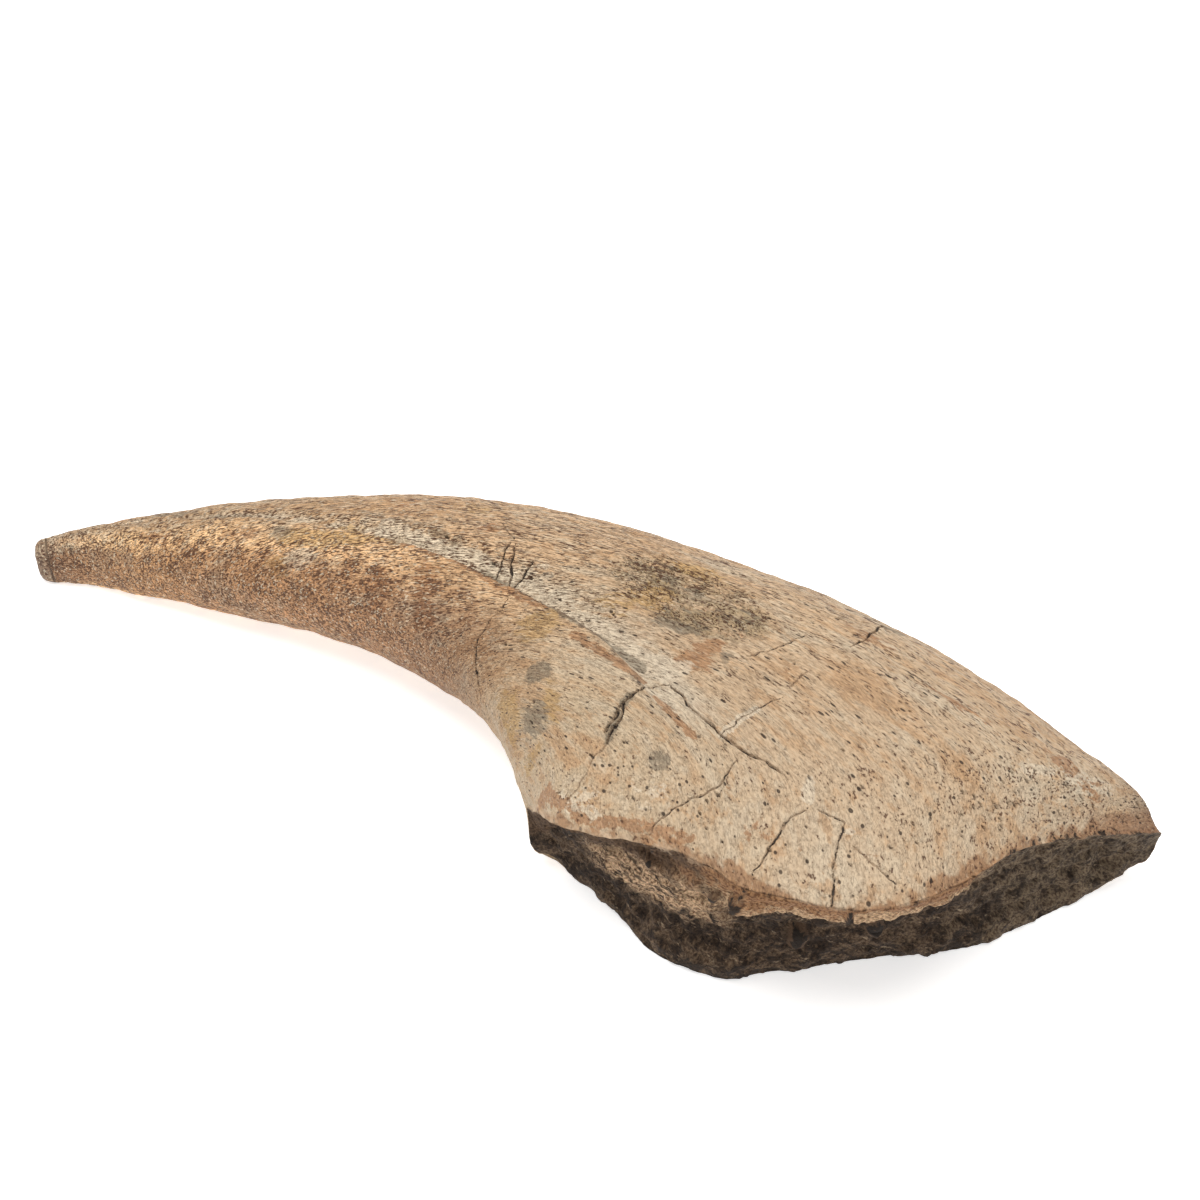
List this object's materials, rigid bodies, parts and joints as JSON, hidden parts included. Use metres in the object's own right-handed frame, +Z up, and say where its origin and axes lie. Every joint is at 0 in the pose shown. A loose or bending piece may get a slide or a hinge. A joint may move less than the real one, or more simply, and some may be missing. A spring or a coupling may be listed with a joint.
{
  "type": "dinosaur fossil claw",
  "caption": "Curved fossil claw of a large dinosaur, grooved along both flanks, blunt at the tip and broken at the base, lying on its flank.",
  "frame": {"origin": "under the middle of the claw's bounding box, on the surface it lies on", "axes": "+Z up through the flanks, -X towards the tip, +Y towards the back (dorsal) edge, -Y towards the broken base"},
  "size_m": [0.2088, 0.1254, 0.0305],
  "materials": {
    "fossil_bone": "matte, finely porous mineralised bone"
  },
  "bodies": {
    "root": {"claw": "fossil_bone"}
  },
  "joints": []
}
